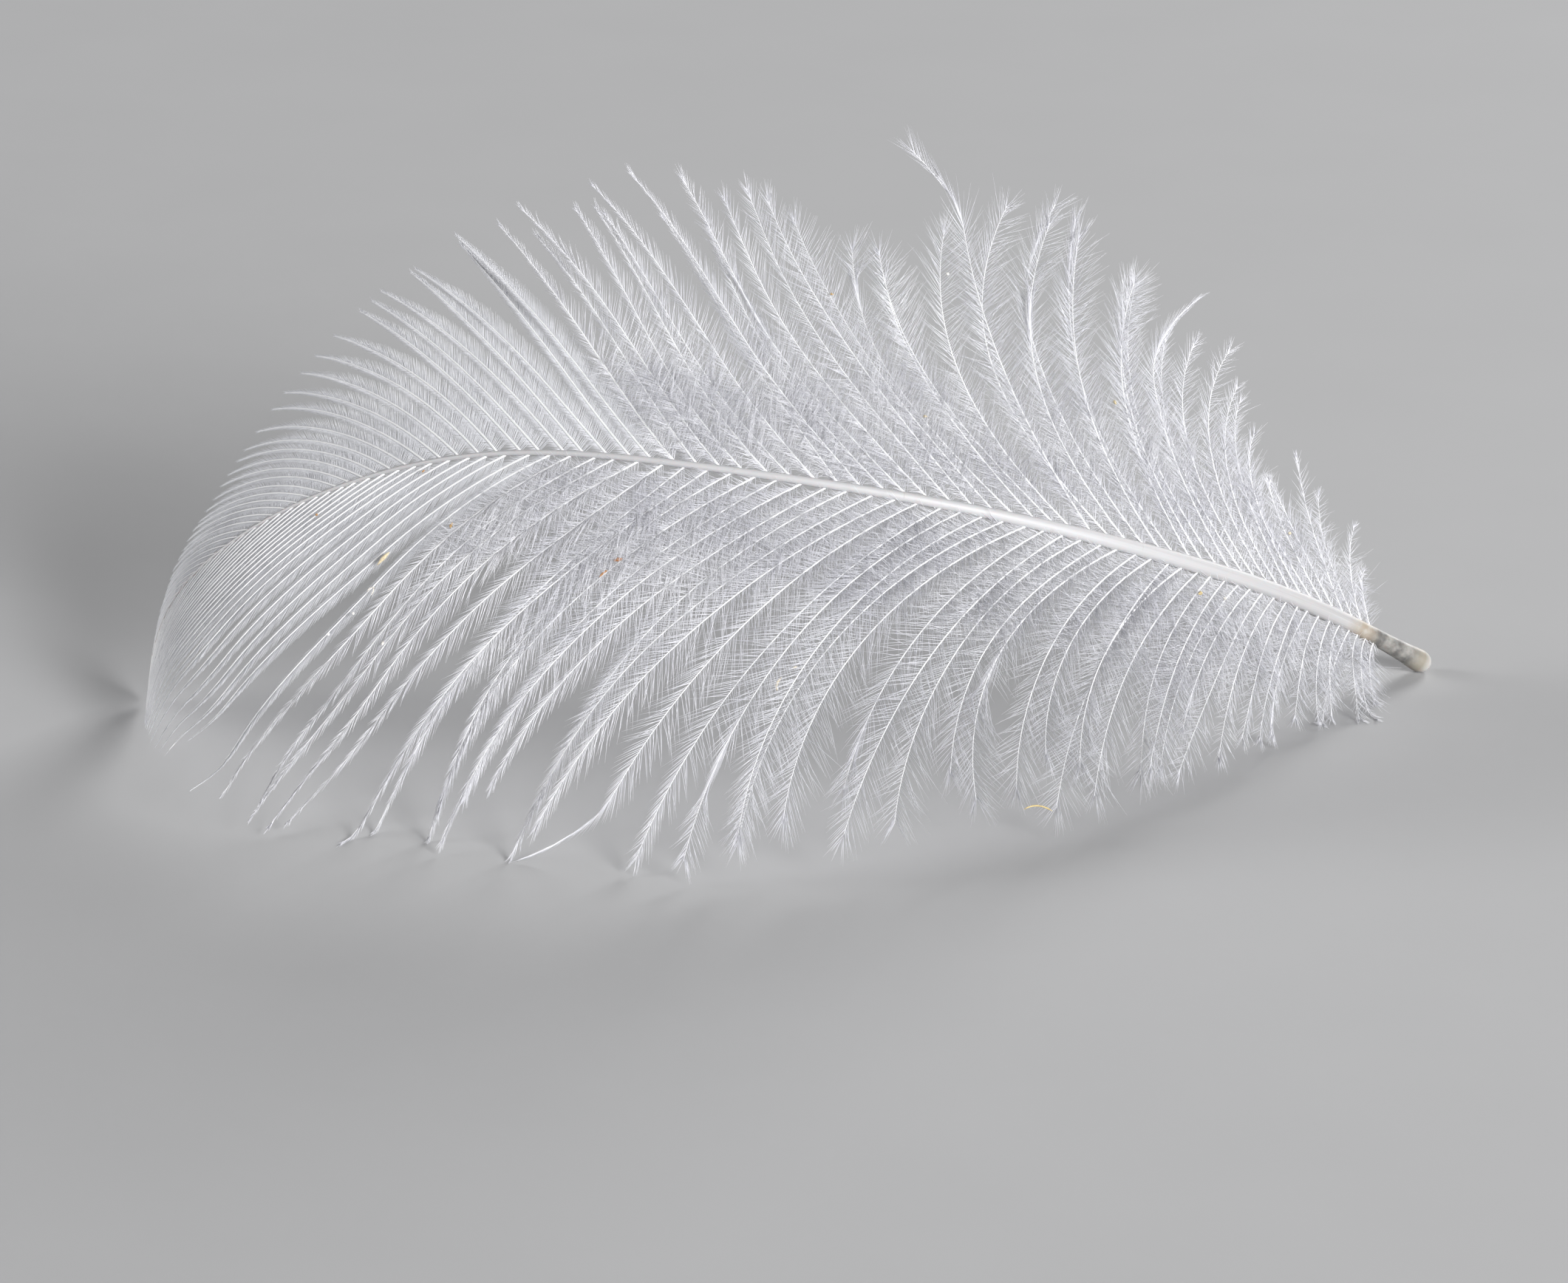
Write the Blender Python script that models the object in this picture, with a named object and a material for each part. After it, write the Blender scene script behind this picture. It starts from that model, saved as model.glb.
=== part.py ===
"""A loose curled body feather, lying on its front barb tips, its left tip and its quill end.

One grown piece, so one solid: the round shaft and, out of each side of it, a thin vane that
starts as a closed web and splits into 32 tapering locks of barbs.  The web, the locks and the
shaft share their vertices, so the solid is closed as it is drawn and needs no joining.

Places are first given on the flattened feather, as a distance s along the shaft from the quill
end and a distance w square to the shaft, and are then carried onto the arched, tented form.
"""
import math

import bmesh
import bpy
import numpy as np

MM = 0.001

# The shaft: points that its centre line passes through, quill end first (mm)
SHAFT_PATH = (
    (55.0, -8.2, 1.0), (47.3, -12.6, 6.8), (32.5, -24.0, 16.5), (13.0, -32.3, 24.4),
    (-6.5, -32.2, 27.6), (-23.0, -25.8, 26.5), (-38.0, -18.3, 20.5), (-47.0, -15.0, 14.3),
    (-51.5, -14.2, 9.3), (-53.4, -14.0, 4.6), (-54.1, -14.0, 0.1),
)
# Radius of the shaft along its length: the swollen quill end, the bare quill, the taper (mm)
SHAFT_RADIUS_AT = (0.0, 0.5, 1.6, 4.0, 8.0, 29.0, 50.0, 69.0, 89.0, 112.0, 134.0)
SHAFT_RADIUS = (0.62, 0.88, 0.98, 0.80, 0.72, 0.70, 0.50, 0.36, 0.30, 0.26, 0.22)
SHAFT_SIDES = 5              # facets of the upper half, and of the lower half, of the shaft

# Slope of each vane where it leaves the shaft: the rear one rises, the front one falls (deg)
REAR_SLOPE_AT = (0.0, 40.0, 55.0, 70.0, 85.0, 100.0, 115.0, 125.0, 138.0)
REAR_SLOPE = (45.0, 45.0, 40.0, 35.0, 33.0, 32.0, 28.0, 20.0, 12.0)
FRONT_SLOPE_AT = (0.0, 10.0, 30.0, 45.0, 60.0, 70.0, 80.0, 90.0, 105.0, 118.0, 130.0)
FRONT_SLOPE = (-38.0, -40.0, -44.0, -45.0, -48.0, -51.0, -50.0, -44.0, -41.0, -28.0, -18.0)

# The vanes: where the first and last lock leave the shaft, and how many locks there are
VANE_START = 7.6
VANE_END = 132.0
LOCKS = 32
ROWS = 10                    # rows of facets from the shaft to a lock's tip
WEB_THICK = 0.44             # at the shaft (mm)
TIP_THICK = 0.30             # at a lock's tip (mm)
LOCK_SHARPNESS = 0.75        # below 1 a lock keeps its width and then narrows quickly

# The reach of the barbs: for barbs that leave the shaft at these places, how far their tips lie
# ahead along the shaft and out from it, and the same two for the bend of their sweep (mm)
ROOT_AT = (7.0, 15.0, 25.0, 35.0, 45.0, 60.0, 75.0, 90.0, 100.0, 112.0, 124.0, 133.0)
FRONT_AHEAD = (0.5, 6.0, 9.5, 10.0, 14.0, 18.0, 29.0, 37.0, 34.5, 24.8, 13.2, 4.4)
FRONT_OUT = (9.0, 13.0, 17.5, 23.0, 30.0, 34.0, 34.5, 26.0, 16.0, 10.5, 5.5, 2.4)
FRONT_BEND_AHEAD = (2.5, 8.0, 10.0, 11.0, 13.0, 15.5, 15.5, 20.0, 20.0, 14.0, 8.0, 3.2)
FRONT_BEND_OUT = (4.0, 6.0, 8.0, 10.0, 11.0, 13.0, 15.0, 10.0, 6.8, 4.6, 2.6, 1.2)
REAR_AHEAD = (-1.5, 7.0, 8.0, 6.0, 12.0, 27.0, 27.0, 21.0, 17.0, 11.5, 6.0, 2.6)
REAR_OUT = (9.0, 20.0, 25.0, 30.5, 30.0, 28.0, 24.5, 18.5, 13.0, 8.0, 4.2, 2.0)
REAR_BEND_AHEAD = (2.0, 9.0, 12.5, 13.0, 14.5, 15.0, 14.5, 11.0, 9.0, 6.5, 4.0, 2.2)
REAR_BEND_OUT = (4.0, 8.5, 11.5, 13.5, 12.5, 12.5, 10.5, 8.5, 6.6, 4.4, 2.4, 1.1)

# Where the web ends and the locks are free, as a part of the barb's length
SPLIT_AT = (7.0, 30.0, 60.0, 72.0, 80.0, 90.0, 98.0, 133.0)
FRONT_SPLIT = (0.52, 0.55, 0.50, 0.42, 0.34, 0.42, 0.66, 0.72)
REAR_SPLIT = (0.52, 0.52, 0.50, 0.52, 0.58, 0.66, 0.70, 0.72)

# Uneven lock lengths, and the one rear lock that stands well above the others
UNEVEN = 0.045
TALL_LOCK_ROOT = 43.0
TALL_LOCK_WIDTH = 2.6
TALL_LOCK_EXTRA = 0.19

TABLE_EASE = 0.6             # how softly low barbs bend out along the table (mm)


def spline_through(points, samples):
    """Natural cubic spline through the points, as evenly parted samples and their arc lengths."""
    knots = np.array(points, float)
    chord = np.linalg.norm(np.diff(knots, axis=0), axis=1)
    at = np.concatenate(([0.0], np.cumsum(chord)))
    count = len(knots)
    system = np.eye(count)
    rhs = np.zeros((count, 3))
    for i in range(1, count - 1):
        system[i, i - 1:i + 2] = chord[i - 1], 2.0 * (chord[i - 1] + chord[i]), chord[i]
        rhs[i] = 6.0 * ((knots[i + 1] - knots[i]) / chord[i] - (knots[i] - knots[i - 1]) / chord[i - 1])
    bend = np.linalg.solve(system, rhs)
    t = np.linspace(0.0, at[-1], samples)
    i = np.clip(np.searchsorted(at, t, side="right") - 1, 0, count - 2)
    a = ((at[i + 1] - t) / chord[i])[:, None]
    b = ((t - at[i]) / chord[i])[:, None]
    curve = a * knots[i] + b * knots[i + 1]
    curve += ((a ** 3 - a) * bend[i] + (b ** 3 - b) * bend[i + 1]) * (chord[i] ** 2)[:, None] / 6.0
    arc = np.concatenate(([0.0], np.cumsum(np.linalg.norm(np.diff(curve, axis=0), axis=1))))
    return curve, arc


CURVE, ARC = spline_through(SHAFT_PATH, 800)


def smooth_along(s, at, values):
    """Value at s from a few stations, eased so that it has no corner at a station."""
    fine = np.arange(-10.0, 160.0, 0.5)
    raw = np.interp(fine, at, values)
    kernel = np.hanning(21)
    padded = np.concatenate((np.full(10, raw[0]), raw, np.full(10, raw[-1])))
    return np.interp(s, fine, np.convolve(padded, kernel / kernel.sum(), mode="valid"))


def shaft_point(s):
    """Centre of the shaft at distance s; beyond the tip the line runs on straight."""
    s = np.asarray(s, float)
    inside = np.minimum(s, ARC[-1])
    point = np.stack([np.interp(inside, ARC, CURVE[:, k]) for k in range(3)], axis=-1)
    last = (CURVE[-1] - CURVE[-20]) / np.linalg.norm(CURVE[-1] - CURVE[-20])
    return point + (s - inside)[..., None] * last


def unit(v):
    return v / np.linalg.norm(v, axis=-1, keepdims=True)


def shaft_heading(s):
    return unit(shaft_point(s + 0.6) - shaft_point(s - 0.6 * (s > 0.6)))


def vane_direction(s, side):
    """Unit direction square to the shaft in which the rear (+1) or front (-1) vane leaves it."""
    if side > 0:
        slope = np.radians(smooth_along(s, REAR_SLOPE_AT, REAR_SLOPE))
    else:
        slope = np.radians(smooth_along(s, FRONT_SLOPE_AT, FRONT_SLOPE))
    out = np.stack([np.zeros_like(slope), side * np.cos(slope), np.sin(slope)], axis=-1)
    heading = shaft_heading(s)
    return unit(out - (out * heading).sum(-1, keepdims=True) * heading)


def above_table(point):
    """Lowers nothing below the table: height eases from its own value to a flat run."""
    eased = point.copy()
    z = point[..., 2] - 0.5 * TIP_THICK
    eased[..., 2] = 0.5 * (z + np.sqrt(z * z + TABLE_EASE * TABLE_EASE)) + 0.5 * TIP_THICK
    return eased


def on_vane(s, w, side):
    """Point of the vane's middle surface at flat place (s, w)."""
    return above_table(shaft_point(s) + w[..., None] * vane_direction(s, side))


def shaft_radius(s):
    return np.interp(s, SHAFT_RADIUS_AT, SHAFT_RADIUS)


def uneven(index, side):
    """Repeatable small difference between neighbouring locks, between -1 and 1."""
    return math.sin(12.9 * index + 4.1 * side) * math.cos(7.3 * index * side + 1.7)


def barb_place(root, part, reach, side):
    """Flat place (s, w) of a barb at a part of its length: a quadratic sweep from the shaft."""
    if side > 0:
        tables = (REAR_AHEAD, REAR_OUT, REAR_BEND_AHEAD, REAR_BEND_OUT)
    else:
        tables = (FRONT_AHEAD, FRONT_OUT, FRONT_BEND_AHEAD, FRONT_BEND_OUT)
    ahead, out, bend_ahead, bend_out = (smooth_along(root, ROOT_AT, row) for row in tables)
    start = shaft_radius(root) * 0.9
    p = part * reach
    s = root + 2.0 * p * (1.0 - p) * bend_ahead + p * p * ahead
    w = (1.0 - p) ** 2 * start + 2.0 * p * (1.0 - p) * (start + bend_out) + p * p * out
    return s, w


def vane_surface(root, part, reach, side):
    """Middle point and unit upward normal of the vane at a barb's root place and part."""
    def at(root_value, part_value):
        s, w = barb_place(root_value, part_value, reach, side)
        return on_vane(s, w, side)
    point = at(root, part)
    along = at(root, part + 0.01) - at(root, np.maximum(part - 0.01, 0.0))
    across = at(root + 0.2, part) - at(root - 0.2, part)
    normal = unit(np.cross(along, across)) * side
    normal = np.where(normal[..., 2:3] < 0.0, -normal, normal)
    return point, normal


class Solid:
    """Collects vertices and facets."""

    def __init__(self):
        self.points = []
        self.faces = []

    def add(self, point):
        self.points.append(tuple(float(c) for c in point))
        return len(self.points) - 1

    def quad(self, a, b, c, d):
        self.faces.append((a, b, c))
        self.faces.append((a, c, d))

    def tri(self, a, b, c):
        self.faces.append((a, b, c))


def add_ring(solid, s):
    """Shaft section at s: a list going rear-upper, over the top, front-upper, front-lower, under."""
    s = float(s)
    arr = np.array([s])
    centre = shaft_point(arr)[0]
    rear = vane_direction(arr, 1)[0]
    front = vane_direction(arr, -1)[0]
    heading = shaft_heading(arr)[0]
    up = unit(np.cross(rear - front, heading))
    if up[2] < 0.0:
        up = -up
    radius = float(shaft_radius(s))
    half = 0.5 * WEB_THICK
    ring = []
    side_lift = math.asin(min(0.92, half / radius))
    for half_turn, sign in ((0, 1.0), (1, -1.0)):
        for k in range(SHAFT_SIDES + 1):
            f = k / SHAFT_SIDES
            if half_turn:
                f = 1.0 - f
            turn = side_lift + f * (math.pi - 2.0 * side_lift)
            away = math.cos(turn)
            direction = rear * away if away >= 0.0 else front * -away
            ring.append(centre + radius * (direction + sign * up * math.sin(turn)))
    lowest = min(p[2] for p in ring)
    if lowest < 0.0:
        ring = [p - np.array((0.0, 0.0, lowest)) for p in ring]
    return [solid.add(p) for p in ring]


def join_rings(solid, a, b, open_sides):
    """Skins two shaft sections; the rear and front side facets are left out where a vane joins."""
    count = len(a)
    top_front = SHAFT_SIDES
    for k in range(count):
        if open_sides and k in (top_front, count - 1):
            continue
        n = (k + 1) % count
        solid.quad(a[k], b[k], b[n], a[n])


def add_vane(solid, rings, roots, side):
    """One vane: LOCKS locks of two columns each, joined up to their split and free beyond it."""
    part = np.linspace(0.0, 1.0, ROWS + 1)
    if side > 0:
        upper_root, lower_root = 0, 2 * SHAFT_SIDES + 1
        split = smooth_along(roots, SPLIT_AT, REAR_SPLIT)
    else:
        upper_root, lower_root = SHAFT_SIDES, SHAFT_SIDES + 1
        split = smooth_along(roots, SPLIT_AT, FRONT_SPLIT)
    half = 0.5 * (WEB_THICK + (TIP_THICK - WEB_THICK) * part)

    def column(root_values, part_values, reach, rows):
        point, normal = vane_surface(root_values, part_values, reach, side)
        pair = []
        for r in rows:
            h = float(half[r])
            pair.append((solid.add(point[r] + h * normal[r]), solid.add(point[r] - h * normal[r])))
        return pair

    reach = []
    for i in range(LOCKS):
        middle = float(roots[2 * i + 1])
        length = 1.0 + UNEVEN * uneven(i, side)
        if side > 0:
            length += TALL_LOCK_EXTRA * math.exp(-((middle - TALL_LOCK_ROOT) / TALL_LOCK_WIDTH) ** 2)
        reach.append(length)

    # joined part of every lock boundary, from the shaft to the start of the slit
    shared = []
    for b in range(LOCKS + 1):
        root = float(roots[2 * b])
        split_row = int(round(float(split[2 * b]) * ROWS))
        if b in (0, LOCKS):
            split_row = 0
        pairs = [(rings[2 * b][upper_root], rings[2 * b][lower_root])]
        if split_row:
            near = [reach[j] for j in (b - 1, b) if 0 <= j < LOCKS]
            mean = sum(near) / len(near)
            pairs += column(np.full(ROWS + 1, root), part, mean, range(1, split_row + 1))
        shared.append(pairs)

    for i in range(LOCKS):
        left, middle, right = (float(roots[2 * i + k]) for k in range(3))
        centre = [(rings[2 * i + 1][upper_root], rings[2 * i + 1][lower_root])]
        centre += column(np.full(ROWS + 1, middle), part, reach[i], range(1, ROWS + 1))
        edges = []
        for b, edge_root in ((i, left), (i + 1, right)):
            start = len(shared[b]) - 1
            begin = part[start]
            free = np.clip((part - begin) / (1.0 - begin), 0.0, 1.0)
            width = (1.0 - free) ** LOCK_SHARPNESS
            near = [reach[j] for j in (b - 1, b) if 0 <= j < LOCKS]
            mean = sum(near) / len(near)
            blend = mean + (reach[i] - mean) * np.clip(free * 1.5, 0.0, 1.0)
            root_values = middle + (edge_root - middle) * width
            free_pairs = column(root_values, part, blend, range(start + 1, ROWS))
            edges.append((shared[b] + free_pairs + [centre[-1]], start))
        for (edge, start), flip in ((edges[0], False), (edges[1], True)):
            for r in range(ROWS):
                a, b = edge[r], edge[r + 1]
                c, d = centre[r + 1], centre[r]
                if r == ROWS - 1:
                    upper = (a[0], b[0], d[0])
                    lower = (a[1], b[1], d[1])
                    for facet, turn in ((upper, flip), (lower, not flip)):
                        solid.tri(*(facet[::-1] if turn ^ (side > 0) else facet))
                else:
                    upper = (a[0], b[0], c[0], d[0])
                    lower = (a[1], b[1], c[1], d[1])
                    for facet, turn in ((upper, flip), (lower, not flip)):
                        solid.quad(*(facet[::-1] if turn ^ (side > 0) else facet))
            for r in range(start, ROWS):
                a, b = edge[r], edge[r + 1]
                wall = (a[0], a[1], b[1], b[0])
                solid.quad(*(wall[::-1] if flip ^ (side > 0) else wall))


def build_feather():
    """The whole feather as one closed solid."""
    solid = Solid()
    roots = np.linspace(VANE_START, VANE_END, 2 * LOCKS + 1)
    quill = (0.0, 0.5, 1.1, 1.8, 2.8, 4.2, 5.8)
    quill_rings = [add_ring(solid, s) for s in quill]
    rings = [add_ring(solid, s) for s in roots]
    tip_ring = add_ring(solid, VANE_END + 2.0)
    for a, b in zip(quill_rings[:-1], quill_rings[1:]):
        join_rings(solid, a, b, False)
    join_rings(solid, quill_rings[-1], rings[0], False)
    for a, b in zip(rings[:-1], rings[1:]):
        join_rings(solid, a, b, True)
    join_rings(solid, rings[-1], tip_ring, False)
    for ring, flip in ((quill_rings[0], False), (tip_ring, True)):
        middle = solid.add(np.mean([solid.points[i] for i in ring], axis=0))
        for k in range(len(ring)):
            facet = (ring[k], ring[(k + 1) % len(ring)], middle)
            solid.tri(*(facet[::-1] if flip else facet))
    for side in (1, -1):
        add_vane(solid, rings, roots, side)
    return solid


def main():
    for obj in list(bpy.data.objects):
        bpy.data.objects.remove(obj, do_unlink=True)

    solid = build_feather()
    points = np.array(solid.points)
    low, high = points.min(axis=0), points.max(axis=0)
    points -= np.array([(low[0] + high[0]) / 2.0, (low[1] + high[1]) / 2.0, low[2]])
    print("centre offset mm", (low[0] + high[0]) / 2.0, (low[1] + high[1]) / 2.0, low[2])
    print("size mm", high - low, "facets", len(solid.faces))

    mesh = bpy.data.meshes.new("feather")
    mesh.from_pydata((points * MM).tolist(), [], solid.faces)
    shell = bmesh.new()
    shell.from_mesh(mesh)
    bmesh.ops.recalc_face_normals(shell, faces=shell.faces)
    shell.to_mesh(mesh)
    shell.free()
    mesh.update()

    material = bpy.data.materials.new("feather")
    material.use_nodes = True
    shader = material.node_tree.nodes["Principled BSDF"]
    shader.inputs["Base Color"].default_value = (0.80, 0.79, 0.80, 1.0)
    shader.inputs["Roughness"].default_value = 0.62
    mesh.materials.append(material)

    feather = bpy.data.objects.new("feather", mesh)
    bpy.context.scene.collection.objects.link(feather)


main()
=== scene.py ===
import math

import bpy
import numpy as np
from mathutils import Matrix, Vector


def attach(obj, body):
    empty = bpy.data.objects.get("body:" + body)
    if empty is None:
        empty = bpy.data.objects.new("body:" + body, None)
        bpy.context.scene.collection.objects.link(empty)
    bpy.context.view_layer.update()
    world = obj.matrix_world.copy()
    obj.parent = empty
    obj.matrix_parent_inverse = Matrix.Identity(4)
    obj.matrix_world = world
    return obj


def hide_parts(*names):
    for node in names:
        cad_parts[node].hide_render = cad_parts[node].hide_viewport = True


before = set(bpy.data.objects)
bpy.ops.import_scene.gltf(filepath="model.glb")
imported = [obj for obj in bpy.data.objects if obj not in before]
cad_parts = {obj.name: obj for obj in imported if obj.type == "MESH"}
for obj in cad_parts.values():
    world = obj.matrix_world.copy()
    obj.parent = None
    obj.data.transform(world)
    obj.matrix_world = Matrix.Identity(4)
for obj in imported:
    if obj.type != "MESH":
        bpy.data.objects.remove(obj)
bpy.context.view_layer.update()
MM = 0.001


# Table and light
# A large matt pale grey table top, which the feather lies on, with three soft lamps set low around
# it, so that they light the upright threads more than the table, and a dim even sky.

class Channel:
    """A shader value that is worked with like a number: each sign adds its Math node."""

    def __init__(self, tree, socket):
        self.tree = tree
        self.socket = socket

    def step(self, operation, *values):
        node = self.tree.nodes.new("ShaderNodeMath")
        node.operation = operation
        for slot, value in zip(node.inputs, values):
            if isinstance(value, Channel):
                self.tree.links.new(value.socket, slot)
            else:
                slot.default_value = value
        return Channel(self.tree, node.outputs[0])

    def __add__(self, other):
        return self.step("ADD", self, other)

    def __radd__(self, other):
        return self.step("ADD", other, self)

    def __mul__(self, other):
        return self.step("MULTIPLY", self, other)

    def __rmul__(self, other):
        return self.step("MULTIPLY", other, self)

    def ramp(self, low, high):
        """0 below low, 1 above high and a straight rise between them."""
        node = self.tree.nodes.new("ShaderNodeMapRange")
        node.inputs["From Min"].default_value = low
        node.inputs["From Max"].default_value = high
        self.tree.links.new(self.socket, node.inputs["Value"])
        return Channel(self.tree, node.outputs["Result"])


class Finish:
    """One material and the few ways in which this scene adds nodes to it."""

    def __init__(self, name, **plain):
        self.material = bpy.data.materials.new(name)
        self.material.use_nodes = True
        self.tree = self.material.node_tree
        self.shader = self.tree.nodes["Principled BSDF"]
        for socket, value in plain.items():
            self.shader.inputs[socket.replace("_", " ")].default_value = value

    def node(self, kind, settings=None, inputs=None):
        made = self.tree.nodes.new(kind)
        for key, value in (settings or {}).items():
            setattr(made, key, value)
        for key, value in (inputs or {}).items():
            if isinstance(value, Channel):
                self.tree.links.new(value.socket, made.inputs[key])
            else:
                made.inputs[key].default_value = value
        return made

    def out(self, made, key=0):
        return Channel(self.tree, made.outputs[key])

    def place(self):
        return self.out(self.node("ShaderNodeTexCoord"), "Object")

    def noise(self, vector, scale, detail=2.0, roughness=0.5):
        values = {"Vector": vector, "Scale": scale, "Detail": detail, "Roughness": roughness}
        return self.out(self.node("ShaderNodeTexNoise", None, values), "Fac")

    def blend(self, factor, first, second):
        """Colour that goes from first to second as the factor goes from 0 to 1."""
        made = self.node("ShaderNodeMix", {"data_type": "RGBA"})
        slots = (made.inputs[0], made.inputs[6], made.inputs[7])
        for slot, value in zip(slots, (factor, first, second)):
            if isinstance(value, Channel):
                self.tree.links.new(value.socket, slot)
            else:
                slot.default_value = value
        return Channel(self.tree, made.outputs[2])

    def drive(self, socket, channel):
        self.tree.links.new(channel.socket, self.shader.inputs[socket])

    def bump(self, height, strength, distance):
        made = self.node("ShaderNodeBump", None,
                         {"Height": height, "Strength": strength, "Distance": distance})
        self.tree.links.new(made.outputs[0], self.shader.inputs["Normal"])


table_finish = Finish("table_top", Roughness=0.75)
table_grain = table_finish.noise(table_finish.place(), 60.0, 3.0)
table_grey = table_finish.blend(table_grain, (0.41, 0.41, 0.415, 1), (0.43, 0.43, 0.435, 1))
table_finish.drive("Base Color", table_grey)

TABLE_REACH = 5.0  # metres from the feather to each edge
table_mesh = bpy.data.meshes.new("table_top")
table_mesh.from_pydata(
    [(-TABLE_REACH, -TABLE_REACH, 0), (TABLE_REACH, -TABLE_REACH, 0),
     (TABLE_REACH, TABLE_REACH, 0), (-TABLE_REACH, TABLE_REACH, 0)], [], [(0, 1, 2, 3)])
table_mesh.materials.append(table_finish.material)
table_top = bpy.data.objects.new("table_top", table_mesh)
bpy.context.scene.collection.objects.link(table_top)


def soft_lamp(name, place, aim, width, watts):
    """Square area lamp that faces a point."""
    data = bpy.data.lights.new(name, "AREA")
    data.size = width
    data.energy = watts
    lamp = bpy.data.objects.new(name, data)
    lamp.location = place
    lamp.rotation_euler = (Vector(aim) - Vector(place)).to_track_quat("-Z", "Y").to_euler()
    bpy.context.scene.collection.objects.link(lamp)


LAMP_WIDTH = 1.0
soft_lamp("lamp_right", (1.60, -2.10, 0.98), (0, 0, 0.02), LAMP_WIDTH, 120.0)
soft_lamp("lamp_left", (-2.50, 0.20, 0.88), (0, 0, 0.02), LAMP_WIDTH, 40.0)
soft_lamp("lamp_behind", (1.20, 2.20, 0.97), (0, 0, 0.03), LAMP_WIDTH, 52.0)

sky = bpy.data.worlds.new("sky")
sky.use_nodes = True
sky.node_tree.nodes["Background"].inputs["Color"].default_value = (0.86, 0.87, 0.90, 1)
sky.node_tree.nodes["Background"].inputs["Strength"].default_value = 0.07
bpy.context.scene.world = sky
bpy.context.scene.view_settings.view_transform = "Standard"

# The camera stands in front of the feather, 21 degrees above the table, with a long lens.
CAMERA_RISE = math.radians(21.0)
CAMERA_AWAY = 679.04 * MM
CAMERA_AIM = Vector((-0.687, 27.607, -0.499)) * MM
camera_data = bpy.data.cameras.new("camera")
camera_data.lens = 180.0
camera_data.sensor_width = 36.0
camera_data.clip_start = 0.01
camera_data.clip_end = 20.0
camera = bpy.data.objects.new("camera", camera_data)
camera_way = Vector((0, -math.cos(CAMERA_RISE), math.sin(CAMERA_RISE)))
camera.location = CAMERA_AIM + camera_way * CAMERA_AWAY
camera.rotation_euler = (math.pi / 2 - CAMERA_RISE, 0, 0)
bpy.context.scene.collection.objects.link(camera)
bpy.context.scene.camera = camera


# Shaft
# The horny stem that everything grows from: a bare, clear quill end with dry pith in it, then the
# solid white rachis, which arches over the table and thins to a hair at the feather's tip.

# Points that the centre line passes through, quill end first, and its radius along it (mm)
SHAFT_PATH = (
    (55.0, -8.2, 1.0), (47.3, -12.6, 6.8), (32.5, -24.0, 16.5), (13.0, -32.3, 24.4),
    (-6.5, -32.2, 27.6), (-23.0, -25.8, 26.5), (-38.0, -18.3, 20.5), (-47.0, -15.0, 14.3),
    (-51.5, -14.2, 9.3), (-53.4, -14.0, 4.6), (-54.1, -14.0, 0.1),
)
# The point of the form's own axes that stands at the frame's origin (mm)
FORM_CENTRE = np.array((0.687, -27.607, 0.499))
SHAFT_RADIUS_AT = (0.0, 0.25, 0.6, 1.1, 1.8, 3.0, 5.0, 8.0, 29.0, 50.0, 69.0, 89.0, 112.0, 128.0, 135.0)
SHAFT_RADIUS = (0.55, 0.78, 0.93, 0.98, 0.94, 0.84, 0.76, 0.72, 0.69, 0.50, 0.34, 0.24, 0.16, 0.10, 0.05)


def spline_through(points, samples):
    """Natural cubic spline: between knots the place is the straight blend of the two knots plus
    each knot's bend times (share cubed less share) times the gap squared over six."""
    knots = np.array(points, float)
    gap = np.linalg.norm(np.diff(knots, axis=0), axis=1)
    at = np.concatenate(([0.0], np.cumsum(gap)))
    inner = np.arange(1, len(knots) - 1)
    system = np.eye(len(knots))
    system[inner, inner - 1] = gap[:-1]
    system[inner, inner] = 2.0 * (gap[:-1] + gap[1:])
    system[inner, inner + 1] = gap[1:]
    slope = np.diff(knots, axis=0) / gap[:, None]
    rhs = np.zeros_like(knots)
    rhs[inner] = 6.0 * (slope[1:] - slope[:-1])
    bend = np.linalg.solve(system, rhs)
    t = np.linspace(0.0, at[-1], samples)
    i = np.clip(np.searchsorted(at, t, side="right") - 1, 0, len(knots) - 2)
    a = ((at[i + 1] - t) / gap[i])[:, None]
    b = 1.0 - a
    curve = a * knots[i] + b * knots[i + 1]
    curve += ((a ** 3 - a) * bend[i] + (b ** 3 - b) * bend[i + 1]) * (gap[i] ** 2)[:, None] / 6.0
    run = np.concatenate(([0.0], np.cumsum(np.linalg.norm(np.diff(curve, axis=0), axis=1))))
    return curve, run


SHAFT_CURVE, SHAFT_RUN = spline_through(SHAFT_PATH, 900)
HEADING_STEP = 0.6


def unit(v):
    return v / np.maximum(np.linalg.norm(v, axis=-1, keepdims=True), 1e-12)


def shaft_point(s):
    """Centre of the shaft at distance s from the quill end (mm); straight on past the tip."""
    inside = np.clip(s, 0.0, SHAFT_RUN[-1])
    point = np.stack([np.interp(inside, SHAFT_RUN, SHAFT_CURVE[:, k]) for k in range(3)], axis=-1)
    last = unit(SHAFT_CURVE[-1] - SHAFT_CURVE[-20])
    return point + (s - inside)[..., None] * last


def shaft_heading(s):
    """Unit direction of the shaft at s, from the points a step ahead and a step behind."""
    return unit(shaft_point(s + HEADING_STEP) - shaft_point(np.maximum(s - HEADING_STEP, 0.0)))


LOWEST_POINT = 0.00001  # metres above the table


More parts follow.
